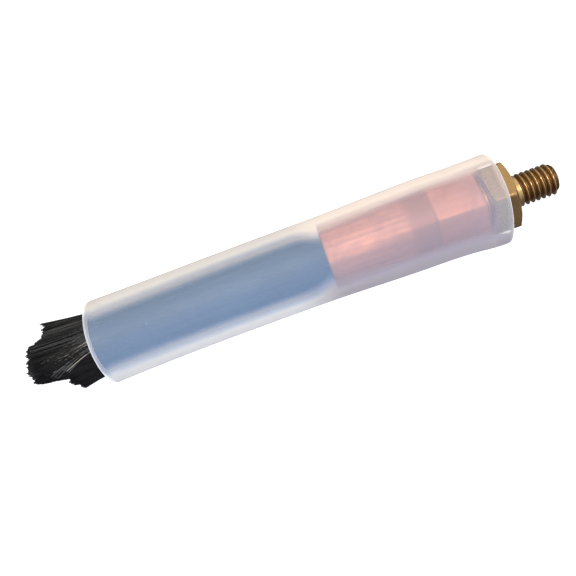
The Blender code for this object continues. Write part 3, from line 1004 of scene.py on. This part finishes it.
def makeBundle():
    along, side, up, tone, reach, across = fibrePaths()
    core = reach < bundle["coreReach"]
    outer = reach >= bundle["middleReach"]
    middle = ~core & ~outer
    upper = outer & (across > 0)
    lower = outer & (across <= 0)
    # each part takes the place of a run of the frame's tows
    parts = (("fibresCore", core, 1, 7), ("fibresMiddle", middle, 8, 19),
             ("fibresUpper", upper, 20, 28), ("fibresLower", lower, 29, 37))
    for seed, (name, chosen, first, last) in enumerate(parts):
        piece = tubeMesh(name, along[chosen], side[chosen], up[chosen], tone[chosen], seed)
        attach(piece, "brush")
        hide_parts(*[f"fibre_tow_{number:02d}" for number in range(first, last + 1)])
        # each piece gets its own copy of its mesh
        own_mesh(piece)


makeBundle()
print("fibre bundle made")


# Floor, light and camera
stageLook = {
    "floor": (0.90, 0.90, 0.91), "floorGlow": 0.50, "floorRoughness": 0.85,
    "floorHalf": 1.5, "floorDrop": 0.0002,
    "skyBelow": (0.16, 0.155, 0.19), "skyAbove": (0.72, 0.69, 0.64),
    "skySide": 0.5, "skyUp": 0.8, "skySpan": (-0.45, 0.75),      # which way the sky gets lighter
}

# the side light is only seen in reflections, and the fill light never is
lights = {
    "keyLight": {"place": (-0.02, 0.10, 0.42), "power": 1.25, "colour": (1.0, 0.965, 0.91), "size": 0.30},
    "sideLight": {"place": (0.0, 0.36, 0.21), "power": 0.12, "colour": (1.0, 0.93, 0.86), "size": 0.22,
                  "diffuse": False},
    "fillLight": {"place": (-0.03, -0.33, 0.26), "power": 0.95, "colour": (0.62, 0.79, 1.0), "size": 0.15,
                  "glossy": False},
}


def makeFloor():
    mesh = bpy.data.meshes.new("floor")
    half = stageLook["floorHalf"]
    corners = [(-half, -half, 0), (half, -half, 0), (half, half, 0), (-half, half, 0)]
    mesh.from_pydata(corners, [], [(0, 1, 2, 3)])
    floor = placeObject("floor", mesh)
    floor.location.z = -stageLook["floorDrop"]
    material, tree, shader = newMaterial("paleFloor")
    feed(tree, shader.inputs["Base Color"], stageLook["floor"])
    feed(tree, shader.inputs["Emission Color"], (1.0, 1.0, 1.0))
    feed(tree, shader.inputs["Emission Strength"], stageLook["floorGlow"])
    feed(tree, shader.inputs["Roughness"], stageLook["floorRoughness"])
    floor.data.materials.append(material)
    floor.visible_glossy = False


def addLight(name, place, power, colour, size, diffuse=True, glossy=True):
    data = bpy.data.lights.new(name, "AREA")
    data.energy = power
    data.color = colour
    data.size = size
    lamp = placeObject(name, data)
    lamp.location = place
    aim = Vector((0, 0, axisHeight)) - Vector(place)
    lamp.rotation_euler = aim.to_track_quat("-Z", "Y").to_euler()
    lamp.visible_diffuse = diffuse
    lamp.visible_glossy = glossy


def makeSky():
    world = bpy.data.worlds.new("studio")
    bpy.context.scene.world = world
    world.use_nodes = True
    tree = world.node_tree
    coordinate = tree.nodes.new("ShaderNodeTexCoord")
    split = tree.nodes.new("ShaderNodeSeparateXYZ")
    feed(tree, split.inputs["Vector"], coordinate.outputs["Generated"])
    toLight = weightedSum(tree, None, (split.outputs["Y"], stageLook["skySide"]),
                          (split.outputs["Z"], stageLook["skyUp"]))
    share = rampNode(tree, toLight, *stageLook["skySpan"])
    colour = mixColour(tree, share, stageLook["skyBelow"], stageLook["skyAbove"])
    feed(tree, tree.nodes["Background"].inputs["Color"], colour)


view = {
    "target": (-43.41, -2.50, 0.0),      # along, across and above the axis
    "tilt": math.radians(3.38),          # how far the camera stands towards the stud
    "roll": math.radians(19.80),
    "distance": 126.2,
    "lens": 42.67, "sensor": 36.0, "nearest": 5.0,
}


def makeCamera():
    back = Vector((math.sin(view["tilt"]), 0.0, math.cos(view["tilt"])))
    level = Vector((math.cos(view["tilt"]), 0.0, -math.sin(view["tilt"])))
    side = Vector((0.0, 1.0, 0.0))
    right = level * math.cos(view["roll"]) - side * math.sin(view["roll"])
    up = level * math.sin(view["roll"]) + side * math.cos(view["roll"])
    target = Vector(toWorld(*view["target"]))
    data = bpy.data.cameras.new("camera")
    data.lens = view["lens"]
    data.sensor_width = view["sensor"]
    data.clip_start = view["nearest"] * mm
    camera = placeObject("camera", data)
    turn = Matrix((right, up, back)).transposed().to_4x4()
    camera.matrix_world = Matrix.Translation(target + back * view["distance"] * mm) @ turn
    bpy.context.scene.camera = camera


makeFloor()
for lightName, values in lights.items():
    addLight(lightName, **values)
makeSky()
makeCamera()
bpy.context.scene.view_settings.view_transform = "Standard"
print("floor, light and camera made")
